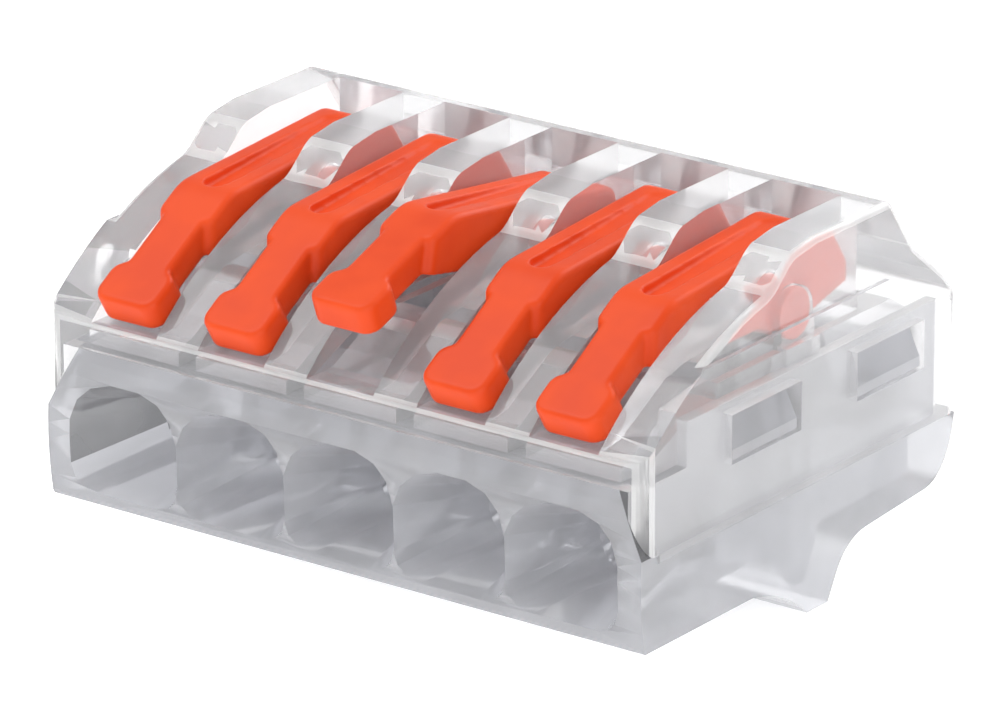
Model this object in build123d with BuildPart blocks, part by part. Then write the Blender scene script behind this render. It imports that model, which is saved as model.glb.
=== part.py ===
"""Lever wire connector with five poles and a clear two-part housing.

Frame: X runs across the poles, -Y is the wire-entry side, +Y the back, +Z up. The origin is under the
middle of the housing, on the surface that it stands on. Millimetres.
"""

import os
from math import cos, radians, sin, sqrt, tan

from build123d import *

os.makedirs("parts", exist_ok=True)

# ---- Overall sizes ----
pole_count = 5
pole_pitch = 5.0
end_margin = 1.1  # from the last pole's share of the width to the end face
depth = 20.3
height = 14.4

width = pole_count * pole_pitch + 2 * end_margin
front = -depth / 2
back = depth / 2
end_face = width / 2
half_pitch = pole_pitch / 2
pole_x = [(index - (pole_count - 1) / 2) * pole_pitch for index in range(pole_count)]

# ---- Fits ----
shell_gap = 0.05  # between the two halves of the housing
lever_side_gap = 0.2  # between a lever and the walls of its slot
trunnion_gap = 0.05  # radial, between a trunnion and its bearing
clip_gap = 0.05  # between the spring's window and the busbar

# ---- Levels ----
foot_z = 1.7  # underside of the base's front block
skirt_z = 5.0  # lower edge of the cover's skirt
split_z = height - 6.6  # where the cover sits on the base at the front
lip_z = height - 5.5  # top of the cover's front lip
ledge_z = height - 2.9  # top of the thick part of the end walls

# ---- Wire path ----
wire_z = 4.0
throat_radius = 1.4
throat_length = 1.5
mouth_bottom_z = 2.15
mouth_top_z = 6.7
mouth_widest_z = 4.3
mouth_half_width = pole_pitch / 2 + 0.06
mouth_sides = 16
arch_power = 2.5  # how square the mouth's arched top is, where 2 is an ellipse
sill_power = 5.0  # and its bottom
funnel_length = 4.4
floor_thickness = 0.8

# ---- Busbar ----
bar_thickness = 0.8
bar_depth = 2.4
tongue_width = 1.7
tongue_length = 8.8
bar_bottom_z = wire_z + throat_radius + 0.1
bar_top_z = bar_bottom_z + bar_thickness

# ---- Lever ----
pivot_y = 0.85
pivot_drop = 3.1  # from the top of the cover to the lever's axis
pivot_z = height - pivot_drop
trunnion_radius = 1.0
cam_reach = 4.1  # from the axis to the face that holds the spring down
cam_slant = 14.0  # degrees that the cam's underside rises towards the back, closed
lever_width = 2.6
neck_width = 1.9
pad_width = 2.85
pad_setback = 0.63  # from the front face to the lower edge of the thumb pad
rest_gap = 0.1  # between a closed pad and the lip
arm_slope = 31.0  # degrees above level, closed
arm_thickness = 1.26
pad_length = 1.95
pad_corner = 0.62
# places on the lever's body, closed, measured from its axis
step_y = -7.17  # where the neck meets the body
hump_y = -5.87  # where the slope of the neck ends
hump_round = 2.0
tip = (3.08, 2.4)
tip_round = 0.8
cam_high_z = 0.9
underside_z = -0.3
valley_width = 1.0
valley_depth = 0.38  # at its front end
valley_rise = 0.26  # how much shallower it is at the back
ridge_round = 0.25
body_corner = 0.35
waist_round = 0.3  # where the pad widens out from the neck
arm_top_round = 0.22
arm_low_round = 0.15
neck_overlap = 0.6  # how far the neck runs on inside the body
hub_turn = 50.0  # degrees in front of straight down where the body leaves the hub
hub_front_y = -1.6
hollow_wall = 0.45
hollow_front = 1.0
hollow_depth = 1.3
lever_lifts = [0.0, 0.0, 11.0, 0.0, 0.0]  # degrees open, pole by pole

# ---- Springs ----
strip = 0.35
spring_leg_y = pivot_y + 0.25
bow_back_y = spring_leg_y + 1.1
bow_width = 2.3
window_leg_width = 2.8
window_width = 1.95
cam_gap = 0.05  # between a relaxed spring and the lever's hub
bow_top_z = pivot_z - trunnion_radius - cam_gap

# ---- Shell sizes ----
skirt_wall = 0.75
rear_wall = 0.9
recess = 0.2  # how far the upper end walls stand back from the lower ones
base_inset = 0.06  # how far the base stands back under the skirt
slot_width = pad_width + lever_side_gap
partition = 0.8
cavity_half = half_pitch - partition / 2
slot_half = slot_width / 2
skirt_inner = end_face - skirt_wall
base_end_inner = pole_x[-1] + cavity_half
base_end_outer = skirt_inner - shell_gap
base_end_top = height - 4.9
end_wall_front = front + 3.4
block_back = front + funnel_length + throat_length
corner_front = 0.6
past = 1.0  # how far a cutter reaches past what it cuts
lap = 0.1  # how far two pieces of one solid reach into each other
join = 0.5  # how far the rooms above and below the split run into each other
corner_back = 0.7
edge_round = 0.4
end_round = 0.25  # along the outer edges of the upper end walls
flange_depth = 1.0  # the full-width part of the base's front
post_half_depth = trunnion_radius
post_top = pivot_z - trunnion_radius - trunnion_gap
trunnion_reach = slot_half + 0.5
upper_cavity_z = post_top - 0.1
window_low_z = skirt_z + 2.35
window_high_z = skirt_z + 4.25
window_length = 4.4
window_middles = [pivot_y - 3.3, pivot_y + 4.7]
slot_back = pivot_y + cam_reach + 0.25
bar_front = bow_back_y + 3.0
bar_back = bar_front + bar_depth
cavity_back = back - 1.95

# ---- Outline of the cover, seen from the end ----
lip_y = front + 0.15
step_foot = (pivot_y - 3.1, height - 1.4)
step_head = (pivot_y - 1.35, height - 0.2)
crest_back = (back - 4.4, height)
knee = (back - 2.85, height - 2.2)
shoulder = (back - 0.85, height - 3.8)
shoulder_low = (back, height - 4.7)
crest_sagitta = 0.62
step_tangents = [(1.0, 0.35), (1.0, 0.3)]
# ledge along each end, level as far as its bend and then falling to the back
ledge_bend_y = knee[0] - 1.9
ledge_back_z = ledge_z - 1.9
ledge_fall = 0.7
# slanting edge of the cover's skirt at the front corners
flange_low_z = skirt_z + 0.3
flange_slant = 1.3
# front lip, and the deck that rises behind it under each lever
lip_depth = 1.75
lip_wall = 1.0
lip_skin = 0.55
deck_rise = 1.3
deck_skin = 0.7
deck_back_y = block_back - 1.4
# room for the spring and the cam
room_bend_y = back - 3.3
room_back_y = back - rear_wall - lap
room_fall = 1.4


def cover_outline():
    """The cover's outline in the YZ plane, down to the skirt's lower edge, with its corners rounded."""
    with BuildSketch() as outline:
        with BuildLine():
            Line((lip_y, skirt_z), (lip_y, lip_z))
            SagittaArc((lip_y, lip_z), step_foot, crest_sagitta)
            Spline(step_foot, step_head, tangents=step_tangents, tangent_scalars=[1.0, 1.0])
            Polyline(step_head, (pivot_y, height), crest_back, knee, shoulder, shoulder_low, (back, skirt_z))
            Line((back, skirt_z), (lip_y, skirt_z))
        make_face()
        rounded = [crest_back, knee, shoulder, shoulder_low, (lip_y, lip_z)]
        for spot in rounded:
            fillet(outline.vertices().sort_by_distance(Vector(*spot))[0], radius=edge_round)
    return outline.sketch


def both_ends(x_low, x_high, y_low, y_high, z_low, z_high, mode):
    """A box with its mirror image across the YZ plane, added to or cut from the part being built."""
    size = (x_high - x_low, y_high - y_low, z_high - z_low)
    middle = ((y_low + y_high) / 2, (z_low + z_high) / 2)
    for side in (-1, 1):
        with Locations((side * (x_low + x_high) / 2, *middle)):
            Box(*size, mode=mode)


# ---- Cover ----
outline = cover_outline()
with BuildPart() as cover:
    # upper part, with its outer edges rounded
    with BuildSketch(Plane.YZ):
        add(outline)
    extrude(amount=end_face - recess, both=True)
    end_edges = cover.faces().filter_by(Axis.X).edges()
    fillet(end_edges.filter_by(lambda edge: edge.center().Z > skirt_z + 0.01), radius=end_round)

    # the lower walls stand forward of it, up to a ledge that slopes down at the rear
    with BuildSketch(Plane.YZ) as lower_outline:
        add(outline)
        Polygon(
            (front - past, ledge_z),
            (ledge_bend_y, ledge_z),
            (shoulder[0], ledge_back_z),
            (back + past, ledge_back_z - ledge_fall),
            (back + past, height + past),
            (front - past, height + past),
            align=None,
            mode=Mode.SUBTRACT,
        )
    extrude(amount=end_face, both=True)
    # the corners are rounded in plan, more at the front than at the back
    with BuildSketch(Plane.XY):
        with Locations((0, (lip_y + back) / 2)):
            Rectangle(width, back - lip_y)
        fillet(vertices().group_by(Axis.Y)[0], radius=corner_front)
        fillet(vertices().group_by(Axis.Y)[-1], radius=corner_back)
    extrude(amount=height, mode=Mode.INTERSECT)

    # room for the base: everything below the split, inside the skirt
    with BuildSketch(Plane.XY.offset(skirt_z - past)):
        with Locations((0, (front - past + back - rear_wall) / 2)):
            Rectangle(2 * skirt_inner, back - rear_wall - front + past)
    extrude(amount=split_z - skirt_z + past, mode=Mode.SUBTRACT)
    both_ends(
        base_end_inner - shell_gap,
        skirt_inner,
        end_wall_front - shell_gap,
        back - rear_wall,
        skirt_z,
        base_end_top + shell_gap,
        Mode.SUBTRACT,
    )
    # the base's flange crosses the skirt at the front, below a slanting edge at each end
    with BuildSketch(Plane.XZ.offset(-front - flange_depth - shell_gap)):
        for side in (-1, 1):
            Polygon(
                (side * (end_face + past), skirt_z - past),
                (side * (end_face + past), flange_low_z),
                (side * end_face, flange_low_z),
                (side * (end_face - flange_slant), split_z),
                (side * base_end_inner, split_z),
                (side * base_end_inner, skirt_z - past),
                align=None,
            )
    extrude(amount=flange_depth + 2 * past, mode=Mode.SUBTRACT)

    for x in pole_x:
        # slot that the lever swings in, over a deck that rises from the lip
        with BuildSketch(Plane.YZ.offset(x)):
            Polygon(
                (front - past, lip_z),
                (front + lip_depth, lip_z),
                (deck_back_y, lip_z + deck_rise),
                (block_back, lip_z + deck_rise),
                (block_back, split_z - join),
                (slot_back, split_z - join),
                (slot_back, height + past),
                (front - past, height + past),
                align=None,
            )
        extrude(amount=slot_half, both=True, mode=Mode.SUBTRACT)
        # wider room below for the spring and the cam, and a hollow under the deck
        with BuildSketch(Plane.YZ.offset(x)):
            Polygon(
                (block_back, split_z - join),
                (block_back, upper_cavity_z),
                (room_bend_y, upper_cavity_z),
                (room_back_y, upper_cavity_z - room_fall),
                (room_back_y, split_z - join),
                align=None,
            )
            Polygon(
                (front + lip_wall, split_z - join),
                (front + lip_wall, lip_z - lip_skin),
                (front + lip_depth, lip_z - lip_skin),
                (deck_back_y, lip_z + deck_rise - deck_skin),
                (block_back + lap, lip_z + deck_rise - deck_skin),
                (block_back + lap, split_z - join),
                align=None,
            )
        extrude(amount=cavity_half, both=True, mode=Mode.SUBTRACT)
        # bearings for the trunnions, open below, and room for the base's posts
        with BuildSketch(Plane.YZ.offset(x)):
            with Locations((pivot_y, pivot_z)):
                Circle(trunnion_radius + trunnion_gap)
            with Locations((pivot_y, (split_z + pivot_z) / 2)):
                Rectangle(2 * (trunnion_radius + trunnion_gap), pivot_z - split_z)
        extrude(amount=trunnion_reach + trunnion_gap, both=True, mode=Mode.SUBTRACT)
        with Locations((x, pivot_y, (split_z + post_top) / 2)):
            Box(pole_pitch, 2 * (post_half_depth + shell_gap), post_top + shell_gap - split_z, mode=Mode.SUBTRACT)

    # tabs that hold the busbar down on the base's partitions
    for left, right in zip(pole_x, pole_x[1:]):
        tab_low = bar_top_z + shell_gap
        with Locations(((left + right) / 2, (bar_front + bar_back) / 2, (tab_low + split_z + join) / 2)):
            Box(partition - lap, bar_depth - 2 * lap, split_z + join - tab_low)

    # windows that the base's latches snap into
    for middle in window_middles:
        both_ends(
            skirt_inner - 2 * lap,
            end_face + lap,
            middle - window_length / 2,
            middle + window_length / 2,
            window_low_z,
            window_high_z,
            Mode.SUBTRACT,
        )
cover.part.label = "cover"

# ---- Base ----
base_back = back - rear_wall - shell_gap
base_step_z = skirt_z - shell_gap
base_end_face = end_face - base_inset
bow_z = 4.4  # level at which the bowed front face stands furthest forward
bow_face_radius = 14.5
foot_round = 0.15  # bevel along the bottom of the front face
front_low, front_high = [
    (front + bow_face_radius - sqrt(bow_face_radius**2 - (z - bow_z) ** 2), z)
    for z in (foot_z + foot_round, split_z)
]
bulge_front = pivot_y - 0.5
bulge_back = pivot_y + 0.85
# underside behind the bulge, from the back corner forward, and in front of it
back_curve = [
    (back - 0.2, base_step_z),
    (back - 0.45, skirt_z - 1.1),
    (back - 1.1, skirt_z - 2.1),
    (back - 2.2, skirt_z - 2.55),
]
rear_sole = (pivot_y + 3.3, foot_z + 0.5)
rear_hollow = [(pivot_y + 2.2, foot_z + 0.15), (pivot_y + 1.4, 1.0)]
front_hollow = [(pivot_y - 1.9, 1.0), (pivot_y - 4.0, foot_z)]
# latch wedge: how far it stays inside its window, and the height of its catching face
latch_gap = 0.15
latch_face = 0.4
# room inside the bulge
bulge_wall = 0.2
bulge_floor_z = 0.7
room_front_y = pivot_y - 1.8
room_rear_y = pivot_y + 1.5
room_rear_z = foot_z + 1.0
cavity_back_z = foot_z + 1.15
post_foot_z = foot_z + 3.1
mouth_back_y = front + funnel_length


def mouth_outline():
    """Points round one wire mouth, from the pole's middle: a round arch over a nearly square bottom."""
    points = []
    for index in range(mouth_sides):
        turn = radians((index + 0.5) * 360 / mouth_sides)
        power = arch_power if sin(turn) > 0 else sill_power
        reach = mouth_top_z - mouth_widest_z if sin(turn) > 0 else mouth_widest_z - mouth_bottom_z
        across = mouth_half_width * abs(cos(turn)) ** (2 / power)
        level = reach * abs(sin(turn)) ** (2 / power)
        points.append(
            (
                across if cos(turn) > 0 else -across,
                mouth_widest_z + (level if sin(turn) > 0 else -level),
            )
        )
    return points


mouth_points = mouth_outline()

with BuildPart() as base:
    with BuildSketch(Plane.YZ):
        with BuildLine():
            ThreePointArc(front_low, (front, bow_z), front_high)
            Line(front_high, (base_back, split_z))
            Line((base_back, split_z), (base_back, base_step_z))
            Line((base_back, base_step_z), back_curve[0])
            Spline(*back_curve)
            Line(back_curve[-1], rear_sole)
            ThreePointArc(rear_sole, *rear_hollow)
            Line(rear_hollow[-1], (bulge_back, 0))
            Line((bulge_back, 0), (bulge_front, 0))
            ThreePointArc((bulge_front, 0), *front_hollow)
            Line(front_hollow[-1], (front + 2 * foot_round, foot_z))
            Line((front + 2 * foot_round, foot_z), front_low)
        make_face()
    extrude(amount=base_end_face, both=True)

    # shoulders under the skirt, and slanting top corners of the front flange
    both_ends(base_end_outer, end_face, front + flange_depth, back, base_step_z, split_z + past, Mode.SUBTRACT)
    with BuildSketch(Plane.XZ.offset(-front + past)):
        for side in (-1, 1):
            Polygon(
                (side * (end_face - flange_slant - shell_gap), split_z),
                (side * (end_face - shell_gap), flange_low_z),
                (side * (end_face + past), flange_low_z),
                (side * (end_face + past), split_z + past),
                (side * (end_face - flange_slant - shell_gap), split_z + past),
                align=None,
            )
    extrude(amount=-flange_depth - past, mode=Mode.SUBTRACT)
    # end walls that stand up inside the cover, with a latch wedge for each window
    both_ends(
        base_end_inner,
        base_end_outer,
        end_wall_front,
        base_back,
        split_z - join,
        base_end_top,
        Mode.ADD,
    )
    for middle in window_middles:
        for side in (-1, 1):
            with BuildSketch(Plane.XZ.offset(-middle)):
                Polygon(
                    (side * (base_end_outer - lap), window_low_z + lap),
                    (side * (end_face - lap), window_low_z + lap),
                    (side * (end_face - lap), window_low_z + lap + latch_face),
                    (side * (base_end_outer + lap), window_high_z - latch_gap),
                    (side * (base_end_outer - lap), window_high_z - latch_gap),
                    align=None,
                )
            extrude(amount=window_length / 2 - latch_gap, both=True)

    for x in pole_x:
        # room for the spring, the busbar's tongue and the wire's end
        with BuildSketch(Plane.YZ.offset(x)):
            Polygon(
                (block_back, foot_z + floor_thickness),
                (room_front_y, foot_z + floor_thickness),
                (bulge_front + bulge_wall, bulge_floor_z),
                (bulge_back - bulge_wall, bulge_floor_z),
                (room_rear_y, room_rear_z),
                (cavity_back, cavity_back_z),
                (cavity_back, split_z + lap),
                (block_back, split_z + lap),
                align=None,
            )
        extrude(amount=cavity_half, both=True, mode=Mode.SUBTRACT)
        # funnel from the mouth to the round throat
        with BuildSketch(Plane.XZ.offset(-front + lap / 2)):
            with BuildLine():
                Polyline(*[(x + across, level) for across, level in mouth_points], close=True)
            make_face()
        with BuildSketch(Plane.XZ.offset(-mouth_back_y)):
            with Locations((x, wire_z)):
                RegularPolygon(throat_radius, mouth_sides, major_radius=False, rotation=180 / mouth_sides)
        loft(mode=Mode.SUBTRACT)
        with BuildSketch(Plane.XZ.offset(-mouth_back_y + lap / 2)):
            with Locations((x, wire_z)):
                Circle(throat_radius)
        extrude(amount=-throat_length - lap, mode=Mode.SUBTRACT)

    # posts that carry the trunnions from below, on the partitions and the end walls
    post_inner = slot_half + shell_gap
    for x in pole_x:
        for side in (-1, 1):
            outer = half_pitch if abs(x + side * half_pitch) < base_end_inner else cavity_half + lap
            with Locations((x + side * (post_inner + outer) / 2, pivot_y, (post_foot_z + post_top) / 2)):
                Box(outer - post_inner, 2 * (post_half_depth - shell_gap), post_top - post_foot_z)

    # seat for the busbar across the partitions
    with Locations((0, (bar_front + bar_back) / 2, (bar_bottom_z + split_z + lap) / 2)):
        Box(2 * base_end_inner, bar_depth + lap, split_z + lap - bar_bottom_z, mode=Mode.SUBTRACT)
base.part.label = "base"

# ---- Busbar: one strip across all poles, with a tongue for each ----
bar_half = base_end_inner - 2 * lap
bar_corner = 0.3
with BuildPart() as busbar:
    with BuildSketch(Plane.XY.offset(bar_bottom_z)):
        with Locations((0, (bar_front + bar_back) / 2)):
            Rectangle(2 * bar_half, bar_depth)
        for x in pole_x:
            with Locations((x, bar_front - tongue_length / 2 + lap)):
                Rectangle(tongue_width, tongue_length + 2 * lap)
        corners = vertices().group_by(Axis.Y)[0]
        chamfer(corners, length=bar_corner)
    extrude(amount=bar_thickness)
busbar.part.label = "busbar"

# ---- Spring: a strip bent into a bow, with a bearing leg and a leg with a window ----
low_z = bar_top_z + strip / 2
high_z = bow_top_z - strip / 2
bow_radius = (high_z - low_z) / 2
bend_radius = 0.7
bearing_width = window_width - 0.3
bearing_front = spring_leg_y - 1.7
bow_front_y = spring_leg_y + 0.8
window_bottom_z = bar_bottom_z - clip_gap
window_top_z = high_z - 0.3
leg_end_z = window_bottom_z - 0.75
leg_top_z = high_z - bend_radius

with BuildPart() as spring:
    with BuildSketch(Plane.YZ):
        with BuildLine():
            Line((bow_front_y, low_z), (bow_back_y, low_z))
            JernArc((bow_back_y, low_z), (1, 0), bow_radius, 180)
            Line((bow_back_y, high_z), (spring_leg_y + bend_radius, high_z))
            JernArc((spring_leg_y + bend_radius, high_z), (-1, 0), bend_radius, 90)
        trace(line_width=strip)
    extrude(amount=bow_width / 2, both=True)
    with Locations((0, spring_leg_y, (leg_end_z + leg_top_z) / 2)):
        Box(window_leg_width, strip, leg_top_z - leg_end_z)
    with Locations((0, spring_leg_y, (window_bottom_z + window_top_z) / 2)):
        Box(window_width, strip + lap, window_top_z - window_bottom_z, mode=Mode.SUBTRACT)
    with Locations((0, (bearing_front + bow_front_y) / 2, low_z)):
        Box(bearing_width, bow_front_y - bearing_front, strip)

for number, x in enumerate(pole_x, start=1):
    placed_spring = spring.part.moved(Location((x, 0, 0)))
    placed_spring.label = f"spring_{number}"
    export_step(placed_spring, f"parts/spring_{number}.step")

# ---- Lever, drawn closed about its own axis: the arm with its pad, then the body with the cam ----
pad_y = front + pad_setback - pivot_y
pad_z = lip_z + rest_gap - pivot_z
arm_plane = Plane(
    origin=(0, pad_y, pad_z),
    x_dir=(1, 0, 0),
    z_dir=(0, -sin(radians(arm_slope)), cos(radians(arm_slope))),
)


def arm_top(y):
    """Level of the arm's top face at this distance from the axis, closed."""
    return pad_z + arm_thickness / cos(radians(arm_slope)) + (y - pad_y) * tan(radians(arm_slope))


hump = (hump_y, arm_top(hump_y))
# how far along the arm its top meets the body's front face
arm_length = (step_y - pad_y + arm_thickness * sin(radians(arm_slope))) / cos(radians(arm_slope))

with BuildPart() as lever_arm:
    with BuildSketch(arm_plane) as arm_plan:
        with Locations((0, pad_length / 2)):
            RectangleRounded(pad_width, pad_length, pad_corner)
        with Locations((0, (pad_length + arm_length + neck_overlap) / 2)):
            Rectangle(neck_width, arm_length + neck_overlap - pad_length + 2 * lap)
        inside_corners = [
            corner
            for corner in arm_plan.vertices()
            if abs(abs(corner.X) - neck_width / 2) < 0.01 and corner.Y < pad_length + 0.01
        ]
        fillet(inside_corners, radius=waist_round)
    extrude(amount=arm_thickness)
    top_edges = lever_arm.faces().sort_by(Axis((0, 0, 0), arm_plane.z_dir))[-1].edges()
    bottom_edges = lever_arm.faces().sort_by(Axis((0, 0, 0), arm_plane.z_dir))[0].edges()
    fillet(top_edges, radius=arm_top_round)
    fillet(bottom_edges, radius=arm_low_round)

# the cam's underside leaves the round hub at a slant, so the first degrees of lift press nothing
hub_back = (trunnion_radius * sin(radians(cam_slant)), -trunnion_radius * cos(radians(cam_slant)))
hub_front = (-trunnion_radius * sin(radians(hub_turn)), -trunnion_radius * cos(radians(hub_turn)))
cam_low_z = hub_back[1] + (cam_reach - hub_back[0]) * tan(radians(cam_slant))

with BuildPart() as lever_body:
    with BuildSketch(Plane.YZ) as lever_body_plan:
        with BuildLine():
            Polyline(
                hub_front,
                (hub_front_y, underside_z),
                (step_y, underside_z),
                (step_y, arm_top(step_y)),
                hump,
                tip,
                (cam_reach, cam_high_z),
                (cam_reach, cam_low_z),
                hub_back,
            )
            ThreePointArc(hub_back, (0, -trunnion_radius), hub_front)
        make_face()
        fillet(lever_body_plan.vertices().sort_by_distance(Vector(*hump))[0], radius=hump_round)
        fillet(lever_body_plan.vertices().sort_by_distance(Vector(*tip))[0], radius=tip_round)
    extrude(amount=lever_width / 2, both=True)
    fillet(lever_body.edges().filter_by(Axis.Z).group_by(Axis.Y)[0], radius=body_corner)
    side_faces = lever_body.faces().filter_by(Axis.X)
    ridge_edges = [
        edge
        for face in side_faces
        for edge in face.edges()
        if edge.center().Z > arm_top(step_y) + lap
    ]
    fillet(ridge_edges, radius=ridge_round)
    # valley between the two ridges, with a rounded front end
    valley_front = (hump[0] + 0.25, hump[1] - valley_depth)
    valley_end = (tip[0] - 0.6, tip[1] - valley_depth + valley_rise)
    valley_run = (valley_end[0] - valley_front[0], valley_end[1] - valley_front[1])
    valley_plane = Plane(
        origin=(0, *valley_front),
        x_dir=(1, 0, 0),
        z_dir=(0, -valley_run[1], valley_run[0]),
    )
    with BuildSketch(valley_plane):
        with Locations((0, valley_run[0] / 2)):
            SlotOverall(valley_run[0], valley_width, rotation=90)
    extrude(amount=2 * past, mode=Mode.SUBTRACT)
    # hollow under the body, open below
    hollow_length = hub_front_y - lap - step_y - hollow_front
    with Locations((0, step_y + hollow_front + hollow_length / 2, underside_z + hollow_depth / 2 - lap)):
        Box(lever_width - 2 * hollow_wall, hollow_length, hollow_depth + 2 * lap, mode=Mode.SUBTRACT)

with BuildPart() as lever:
    add(lever_body.part)
    add(lever_arm.part)
    with BuildSketch(Plane.YZ.offset(-trunnion_reach)):
        Circle(trunnion_radius)
    extrude(amount=2 * trunnion_reach)

for number, (x, lift) in enumerate(zip(pole_x, lever_lifts), start=1):
    placed_lever = lever.part.moved(Location((x, pivot_y, pivot_z), (-lift, 0, 0)))
    placed_lever.label = f"lever_{number}"
    export_step(placed_lever, f"parts/lever_{number}.step")

for piece in (cover, base, busbar):
    export_step(piece.part, f"parts/{piece.part.label}.step")
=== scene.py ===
"""Lever wire connector: clear housing, orange levers, steel springs and a tinned busbar."""
from math import cos, radians, sin

import bmesh
import bpy
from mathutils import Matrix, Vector


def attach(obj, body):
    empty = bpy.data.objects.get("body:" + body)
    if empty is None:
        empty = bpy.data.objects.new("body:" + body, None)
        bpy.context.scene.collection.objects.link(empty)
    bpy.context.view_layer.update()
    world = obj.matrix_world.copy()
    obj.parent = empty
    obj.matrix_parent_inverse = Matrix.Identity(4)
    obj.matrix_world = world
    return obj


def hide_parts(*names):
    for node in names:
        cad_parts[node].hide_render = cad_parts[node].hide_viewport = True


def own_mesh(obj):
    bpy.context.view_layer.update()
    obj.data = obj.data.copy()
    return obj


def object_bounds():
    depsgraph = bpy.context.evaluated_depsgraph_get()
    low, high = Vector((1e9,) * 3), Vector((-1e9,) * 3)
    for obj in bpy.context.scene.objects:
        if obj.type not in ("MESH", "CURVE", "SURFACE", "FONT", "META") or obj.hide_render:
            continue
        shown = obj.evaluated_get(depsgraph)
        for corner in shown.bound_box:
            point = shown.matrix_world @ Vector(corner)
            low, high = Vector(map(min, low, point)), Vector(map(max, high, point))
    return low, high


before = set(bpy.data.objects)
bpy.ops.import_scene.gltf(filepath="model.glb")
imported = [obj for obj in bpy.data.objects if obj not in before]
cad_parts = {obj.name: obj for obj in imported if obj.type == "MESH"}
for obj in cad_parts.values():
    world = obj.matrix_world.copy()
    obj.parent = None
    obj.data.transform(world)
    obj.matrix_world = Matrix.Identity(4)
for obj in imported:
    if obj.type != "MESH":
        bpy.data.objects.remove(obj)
cad_low, cad_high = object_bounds()

MM = 0.001
POLES = 5
PITCH = 5.0 * MM
# the spring: its window leg and the levels of the window in it
LEG_Y = 1.1 * MM
LEG_TOP = 9.375 * MM
LEG_REACH = 0.25 * MM
WINDOW_HALF_WIDTH = 0.9 * MM
WINDOW_TOP = 6.9 * MM
WINDOW_FOOT = 6.0 * MM
# where the base's wire funnels lie
FUNNEL_FRONT = -10.1 * MM
FUNNEL_BACK = -4.3 * MM
FUNNEL_LOW = 2.1 * MM
FUNNEL_HIGH = 6.75 * MM
# the patch of painted shade on the outer walls of the end funnels
SHADE_PATCH_LOW = 3.4 * MM
SHADE_PATCH_INNER_X = 10.8 * MM
LEAST_LEAN = 0.02
MOST_FACING_FRONT = 0.6
# area over outline length, above which a face of the housing counts as wide, and below which as an edge
WIDE_FACE = 0.15 * MM
EDGE_FACE = 0.06 * MM
# how the edges of the levers and the busbar are softened
LEVER_VOXEL = 0.08 * MM
LEVER_SMOOTHING = 4
BUSBAR_BEVEL = 0.06 * MM
STRIP_ANGLE = 30


# ---- Shader building blocks ----
def new_group(name, inputs, outputs):
    """A shader node group with float inputs of the given defaults, and its input and output nodes."""
    group = bpy.data.node_groups.new(name, "ShaderNodeTree")
    for label, kind, value in inputs:
        socket = group.interface.new_socket(name=label, in_out="INPUT", socket_type=kind)
        socket.default_value = value
    for label, kind in outputs:
        group.interface.new_socket(name=label, in_out="OUTPUT", socket_type=kind)
    return group, group.nodes.new("NodeGroupInput"), group.nodes.new("NodeGroupOutput")


def make_moulded_surface():
    """Fine grain and slow unevenness of a moulded face: a height for bump and a mask from 0 to 1."""
    group, given, result = new_group(
        "moulded surface",
        [
            ("Vector", "NodeSocketVector", (0, 0, 0)),
            ("Grain Size", "NodeSocketFloat", 2500.0),
            ("Ripple Size", "NodeSocketFloat", 350.0),
            ("Grain Share", "NodeSocketFloat", 0.3),
        ],
        [("Height", "NodeSocketFloat"), ("Mask", "NodeSocketFloat")],
    )
    grain = group.nodes.new("ShaderNodeTexNoise")
    grain.inputs["Detail"].default_value = 3.0
    ripple = group.nodes.new("ShaderNodeTexNoise")
    ripple.inputs["Detail"].default_value = 2.0
    mix = group.nodes.new("ShaderNodeMix")
    link = group.links.new
    link(given.outputs["Vector"], grain.inputs["Vector"])
    link(given.outputs["Vector"], ripple.inputs["Vector"])
    link(given.outputs["Grain Size"], grain.inputs["Scale"])
    link(given.outputs["Ripple Size"], ripple.inputs["Scale"])
    link(given.outputs["Grain Share"], mix.inputs["Factor"])
    link(ripple.outputs["Fac"], mix.inputs["A"])
    link(grain.outputs["Fac"], mix.inputs["B"])
    link(mix.outputs["Result"], result.inputs["Height"])
    link(ripple.outputs["Fac"], result.inputs["Mask"])
    return group


MOULDED = make_moulded_surface()


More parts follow.
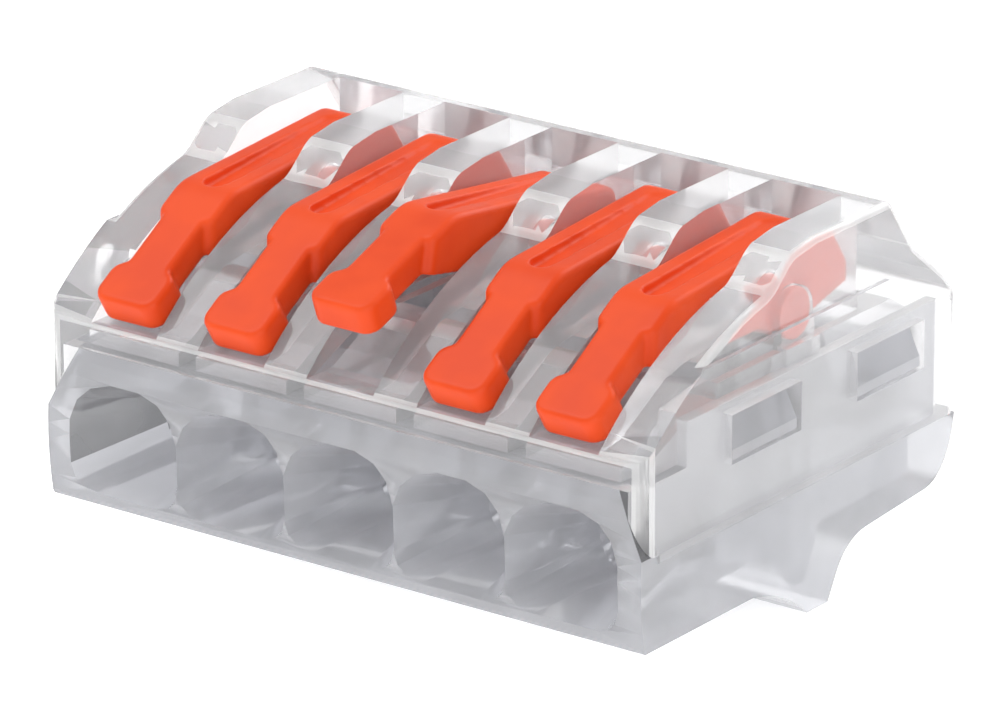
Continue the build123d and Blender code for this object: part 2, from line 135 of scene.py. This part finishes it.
class Material:
    """A node material with one Principled shader, and short ways to add nodes to it."""

    def __init__(self, name):
        self.material = bpy.data.materials.new(name)
        self.material.use_nodes = True
        self.tree = self.material.node_tree
        self.shader = self.tree.nodes["Principled BSDF"]
        self.output = self.tree.nodes["Material Output"]
        self.place = self.node("ShaderNodeTexCoord").outputs["Object"]

    def node(self, kind):
        return self.tree.nodes.new(kind)

    def link(self, start, end):
        self.tree.links.new(start, end)

    def set(self, **values):
        for label, value in values.items():
            self.shader.inputs[label.replace("_", " ")].default_value = value

    def moulded(self, grain, ripple, share):
        """The moulded surface group, placed with this material's own sizes."""
        surface = self.node("ShaderNodeGroup")
        surface.node_tree = MOULDED
        self.link(self.place, surface.inputs["Vector"])
        surface.inputs["Grain Size"].default_value = grain
        surface.inputs["Ripple Size"].default_value = ripple
        surface.inputs["Grain Share"].default_value = share
        return surface

    def bump(self, height, strength, distance):
        bump = self.node("ShaderNodeBump")
        bump.inputs["Strength"].default_value = strength
        bump.inputs["Distance"].default_value = distance
        self.link(height, bump.inputs["Height"])
        self.link(bump.outputs["Normal"], self.shader.inputs["Normal"])

    def ramp(self, mask, socket, low, high, low_at=0.35, high_at=0.65):
        """Drives a socket of the shader from a mask, from one value or colour to another."""
        ramp = self.node("ShaderNodeMapRange") if isinstance(low, float) else self.node("ShaderNodeValToRGB")
        if isinstance(low, float):
            ramp.inputs["From Min"].default_value = low_at
            ramp.inputs["From Max"].default_value = high_at
            ramp.inputs["To Min"].default_value = low
            ramp.inputs["To Max"].default_value = high
            self.link(mask, ramp.inputs["Value"])
            self.link(ramp.outputs["Result"], self.shader.inputs[socket])
        else:
            ramp.color_ramp.elements[0].position = low_at
            ramp.color_ramp.elements[0].color = (*low, 1)
            ramp.color_ramp.elements[1].position = high_at
            ramp.color_ramp.elements[1].color = (*high, 1)
            self.link(mask, ramp.inputs["Fac"])
            self.link(ramp.outputs["Color"], self.shader.inputs[socket])


def clear_plastic(name, low, high, rough_low, rough_high, clearness):
    """Clear polycarbonate: it refracts a little, with a faint haze and moulding marks."""
    made = Material(name)
    made.set(Transmission_Weight=clearness, IOR=1.2, Metallic=0.0)
    made.set(Coat_Weight=0.6, Coat_Roughness=0.06, Coat_IOR=1.5)
    surface = made.moulded(1100.0, 260.0, 0.0)
    made.ramp(surface.outputs["Mask"], "Base Color", low, high)
    made.ramp(surface.outputs["Mask"], "Roughness", rough_low, rough_high)
    made.bump(surface.outputs["Height"], 0.15, 0.00005)
    # lamps shine through the thin walls to what is inside
    see_through = made.node("ShaderNodeBsdfTransparent")
    see_through.inputs["Color"].default_value = (0.90, 0.90, 0.91, 1)
    light_path = made.node("ShaderNodeLightPath")
    mix = made.node("ShaderNodeMixShader")
    made.link(light_path.outputs["Is Shadow Ray"], mix.inputs["Fac"])
    made.link(made.shader.outputs["BSDF"], mix.inputs[1])
    made.link(see_through.outputs["BSDF"], mix.inputs[2])
    made.link(mix.outputs["Shader"], made.output.inputs["Surface"])
    return made.material


def lever_plastic():
    """Orange moulded plastic, satin, a little uneven in colour."""
    made = Material("lever_orange")
    surface = made.moulded(3500.0, 420.0, 0.5)
    made.ramp(surface.outputs["Mask"], "Base Color", (0.76, 0.060, 0.006), (0.84, 0.078, 0.010))
    made.ramp(surface.outputs["Mask"], "Roughness", 0.38, 0.48)
    made.bump(surface.outputs["Height"], 0.2, 0.00002)
    made.set(IOR=1.42, Specular_IOR_Level=0.35)
    return made.material


def strip_metal(name, dark, light, rough_low, rough_high):
    """Metal strip, slightly grained and clouded."""
    made = Material(name)
    made.set(Metallic=1.0)
    surface = made.moulded(3000.0, 500.0, 0.6)
    made.ramp(surface.outputs["Mask"], "Base Color", dark, light)
    made.ramp(surface.outputs["Mask"], "Roughness", rough_low, rough_high)
    made.bump(surface.outputs["Height"], 0.3, 0.00003)
    return made.material


COVER_CLEAR = clear_plastic("clear_cover", (0.86, 0.86, 0.87), (0.92, 0.92, 0.93), 0.10, 0.17, 0.83)
BASE_CLEAR = clear_plastic("clear_base", (0.64, 0.645, 0.67), (0.73, 0.735, 0.76), 0.17, 0.25, 0.62)
# painted highlight: a whiter, less clear material for the cover's rounded edges
COVER_EDGE_HIGHLIGHT = clear_plastic("clear_cover_painted_highlight", (0.95, 0.95, 0.95), (1.0, 1.0, 1.0), 0.12, 0.20, 0.55)
# painted shade: a dark clear material that stands in for the shade inside the end funnels
FUNNEL_PAINTED_SHADE = clear_plastic(
    "clear_base_painted_shade", (0.18, 0.18, 0.185), (0.28, 0.28, 0.285), 0.20, 0.25, 0.55
)
ORANGE = lever_plastic()
TINNED = strip_metal("tinned_copper", (0.50, 0.50, 0.49), (0.66, 0.66, 0.64), 0.28, 0.42)
STEEL = strip_metal("spring_steel", (0.33, 0.33, 0.34), (0.48, 0.48, 0.49), 0.25, 0.40)


# ---- Pieces ----
def select_only(piece):
    bpy.ops.object.select_all(action="DESELECT")
    bpy.context.view_layer.objects.active = piece
    piece.select_set(True)


def joined_copy(node, name):
    """A copy of a CAD node with its faces joined along their edges and no material yet."""
    piece = bpy.data.objects.new(name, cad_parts[node].data.copy())
    bpy.context.scene.collection.objects.link(piece)
    piece.data.materials.clear()
    select_only(piece)
    bpy.ops.object.mode_set(mode="EDIT")
    bpy.ops.mesh.select_all(action="SELECT")
    bpy.ops.mesh.remove_doubles(threshold=1e-7)
    bpy.ops.object.mode_set(mode="OBJECT")
    return piece


def apply_modifier(piece, kind, **settings):
    select_only(piece)
    modifier = piece.modifiers.new(kind.lower(), kind)
    for label, value in settings.items():
        setattr(modifier, label, value)
    bpy.ops.object.modifier_apply(modifier=modifier.name)


def shade_by_angle(piece, angle):
    select_only(piece)
    bpy.ops.object.shade_smooth_by_angle(angle=radians(angle))


def soften_edges(piece, voxel, rounds):
    """Rounds every edge a little, as on a moulding from a worn tool."""
    apply_modifier(piece, "REMESH", mode="VOXEL", voxel_size=voxel)
    apply_modifier(piece, "SMOOTH", factor=0.5, iterations=rounds)
    select_only(piece)
    bpy.ops.object.shade_smooth()


def bevel_edges(piece, width):
    """A narrow bevel on each sharp edge, so that edges catch the light."""
    select_only(piece)
    bpy.ops.object.mode_set(mode="EDIT")
    bpy.ops.mesh.select_all(action="SELECT")
    bpy.ops.mesh.dissolve_limited(angle_limit=radians(0.5))
    bpy.ops.object.mode_set(mode="OBJECT")
    apply_modifier(
        piece, "BEVEL", width=width, segments=2, limit_method="ANGLE", angle_limit=radians(40),
        use_clamp_overlap=True,
    )


def shade_moulding(piece):
    """Keeps wide flat faces flat, up to the edge, and shades the narrow strips of rounded edges smooth."""
    select_only(piece)
    bpy.ops.object.mode_set(mode="EDIT")
    bpy.ops.mesh.select_all(action="SELECT")
    bpy.ops.mesh.dissolve_limited(angle_limit=radians(0.5))
    bpy.ops.object.mode_set(mode="OBJECT")
    shade_by_angle(piece, 32)
    shape = bmesh.new()
    shape.from_mesh(piece.data)
    wide = {face: face.calc_area() / face.calc_perimeter() > WIDE_FACE for face in shape.faces}
    for edge in shape.edges:
        if len(edge.link_faces) != 2:
            continue
        left, right = edge.link_faces
        if wide[left] and wide[right] and edge.calc_face_angle(0) > radians(4):
            edge.smooth = False
    shape.to_mesh(piece.data)
    shape.free()
    apply_modifier(piece, "WEIGHTED_NORMAL", mode="FACE_AREA", weight=100, keep_sharp=True)


def finish_piece(piece, material, body, node):
    """Gives a piece its material, its body and the CAD node that it stands for."""
    piece.data.materials.clear()
    piece.data.materials.append(material)
    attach(piece, body)
    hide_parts(node)


def split_spring(pole):
    """The spring as a bow and a window leg, parted where the leg bends into the bow."""
    bow = joined_copy(f"spring_{pole}", f"spring_bow_{pole}")
    select_only(bow)
    bpy.ops.object.mode_set(mode="EDIT")
    bpy.ops.mesh.select_all(action="SELECT")
    bpy.ops.mesh.bisect(plane_co=(0, 0, LEG_TOP), plane_no=(0, 0, 1))
    bpy.ops.mesh.select_all(action="DESELECT")
    bpy.ops.object.mode_set(mode="OBJECT")
    middle_x = (pole - (POLES + 1) / 2) * PITCH
    for face in bow.data.polygons:
        spot = face.center
        in_leg = abs(spot.y - LEG_Y) < LEG_REACH and spot.z < LEG_TOP
        beside_window = abs(spot.x - middle_x) > WINDOW_HALF_WIDTH
        past_window = spot.z > WINDOW_TOP or spot.z < WINDOW_FOOT
        face.select = in_leg and (beside_window or past_window)
    bpy.ops.object.mode_set(mode="EDIT")
    bpy.ops.mesh.separate(type="SELECTED")
    bpy.ops.object.mode_set(mode="OBJECT")
    leg = next(item for item in bpy.context.selected_objects if item is not bow)
    leg.name = f"spring_leg_{pole}"
    for piece in (bow, leg):
        select_only(piece)
        bpy.ops.object.mode_set(mode="EDIT")
        bpy.ops.mesh.select_all(action="SELECT")
        bpy.ops.mesh.fill_holes(sides=0)
        bpy.ops.mesh.normals_make_consistent(inside=False)
        bpy.ops.object.mode_set(mode="OBJECT")
        shade_by_angle(piece, STRIP_ANGLE)
    return bow, leg


def paint_edge_highlights(piece, material):
    """Painted highlight: the narrow faces of rounded edges get a whiter, less clear material."""
    piece.data.materials.append(material)
    shape = bmesh.new()
    shape.from_mesh(piece.data)
    for face in shape.faces:
        if face.calc_area() / face.calc_perimeter() < EDGE_FACE:
            face.material_index = 1
    shape.to_mesh(piece.data)
    shape.free()


def paint_shade_on_end_funnels(piece, material):
    """Painted shade: a dark, slightly rougher clear material on the outer walls of the two end funnels."""
    piece.data.materials.append(material)
    for face in piece.data.polygons:
        spot = face.center
        if not (FUNNEL_FRONT < spot.y < FUNNEL_BACK and FUNNEL_LOW < spot.z < FUNNEL_HIGH):
            continue
        from_pole = (spot.x / PITCH + POLES / 2) % 1.0 - 0.5
        leans_in = face.normal.x * from_pole < -LEAST_LEAN
        outer_wall = abs(spot.x) > SHADE_PATCH_INNER_X and spot.z > SHADE_PATCH_LOW
        if leans_in and outer_wall and abs(face.normal.y) < MOST_FACING_FRONT:
            face.material_index = 1


cover = joined_copy("cover", "cover_shell")
shade_moulding(cover)
finish_piece(cover, COVER_CLEAR, "housing", "cover")
# painted highlight on the cover's rounded edges
paint_edge_highlights(cover, COVER_EDGE_HIGHLIGHT)

base = joined_copy("base", "base_shell")
shade_moulding(base)
finish_piece(base, BASE_CLEAR, "housing", "base")
# painted shade on the outer walls of the end funnels
paint_shade_on_end_funnels(base, FUNNEL_PAINTED_SHADE)

busbar = joined_copy("busbar", "busbar_strip")
bevel_edges(busbar, BUSBAR_BEVEL)
shade_by_angle(busbar, STRIP_ANGLE)
finish_piece(busbar, TINNED, "housing", "busbar")

for pole in range(1, POLES + 1):
    lever = joined_copy(f"lever_{pole}", f"lever_arm_{pole}")
    soften_edges(lever, LEVER_VOXEL, LEVER_SMOOTHING)
    finish_piece(lever, ORANGE, f"lever_{pole}", f"lever_{pole}")
    bow, leg = split_spring(pole)
    for piece in (bow, leg):
        finish_piece(piece, STEEL, "housing", f"spring_{pole}")
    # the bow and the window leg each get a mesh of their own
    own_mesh(bow)
    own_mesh(leg)


# ---- Studio ----
def add_floor():
    bpy.ops.object.select_all(action="DESELECT")
    bpy.ops.mesh.primitive_plane_add(size=3.0, location=(0, 0, 0))
    floor = bpy.context.object
    floor.name = "floor"
    made = Material("pale_floor")
    made.set(Base_Color=(0.92, 0.92, 0.92, 1), Roughness=0.9, Emission_Color=(1, 1, 1, 1), Emission_Strength=0.45)
    floor.data.materials.append(made.material)


def add_light(name, direction, distance, size, power, aim):
    """A square soft light that looks at the object."""
    lamp = bpy.data.lights.new(name, "AREA")
    lamp.shape = "SQUARE"
    lamp.size = size
    lamp.energy = power
    holder = bpy.data.objects.new(name, lamp)
    holder.location = aim + Vector(direction).normalized() * distance
    holder.rotation_euler = (aim - holder.location).to_track_quat("-Z", "Y").to_euler()
    bpy.context.scene.collection.objects.link(holder)


def add_camera(aim, azimuth, elevation, distance, lens):
    turn, lift = radians(azimuth), radians(elevation)
    away = Vector((sin(turn) * cos(lift), -cos(turn) * cos(lift), sin(lift)))
    view = bpy.data.cameras.new("camera")
    view.lens = lens
    view.sensor_width = 36.0
    view.clip_start = 0.01
    camera = bpy.data.objects.new("camera", view)
    camera.location = aim + away * distance
    camera.rotation_euler = away.to_track_quat("Z", "Y").to_euler()
    bpy.context.scene.collection.objects.link(camera)
    bpy.context.scene.camera = camera


add_floor()
add_camera(Vector((0.52, -0.875, 7.467)) * MM, 36.33, 20.3, 0.313, 304.5)
middle = (cad_low + cad_high) / 2
add_light("key", (-0.5, -0.3, 1.0), 0.25, 0.16, 0.24, middle)
add_light("back", (0.2, 1.0, 0.7), 0.30, 0.20, 0.34, middle)
add_light("front", (0.9, -0.8, 0.25), 0.30, 0.22, 0.22, middle)

world = bpy.data.worlds.new("studio")
world.use_nodes = True
world.node_tree.nodes["Background"].inputs["Color"].default_value = (1.0, 1.0, 1.0, 1)
world.node_tree.nodes["Background"].inputs["Strength"].default_value = 0.62
bpy.context.scene.world = world
bpy.context.scene.view_settings.view_transform = "Standard"
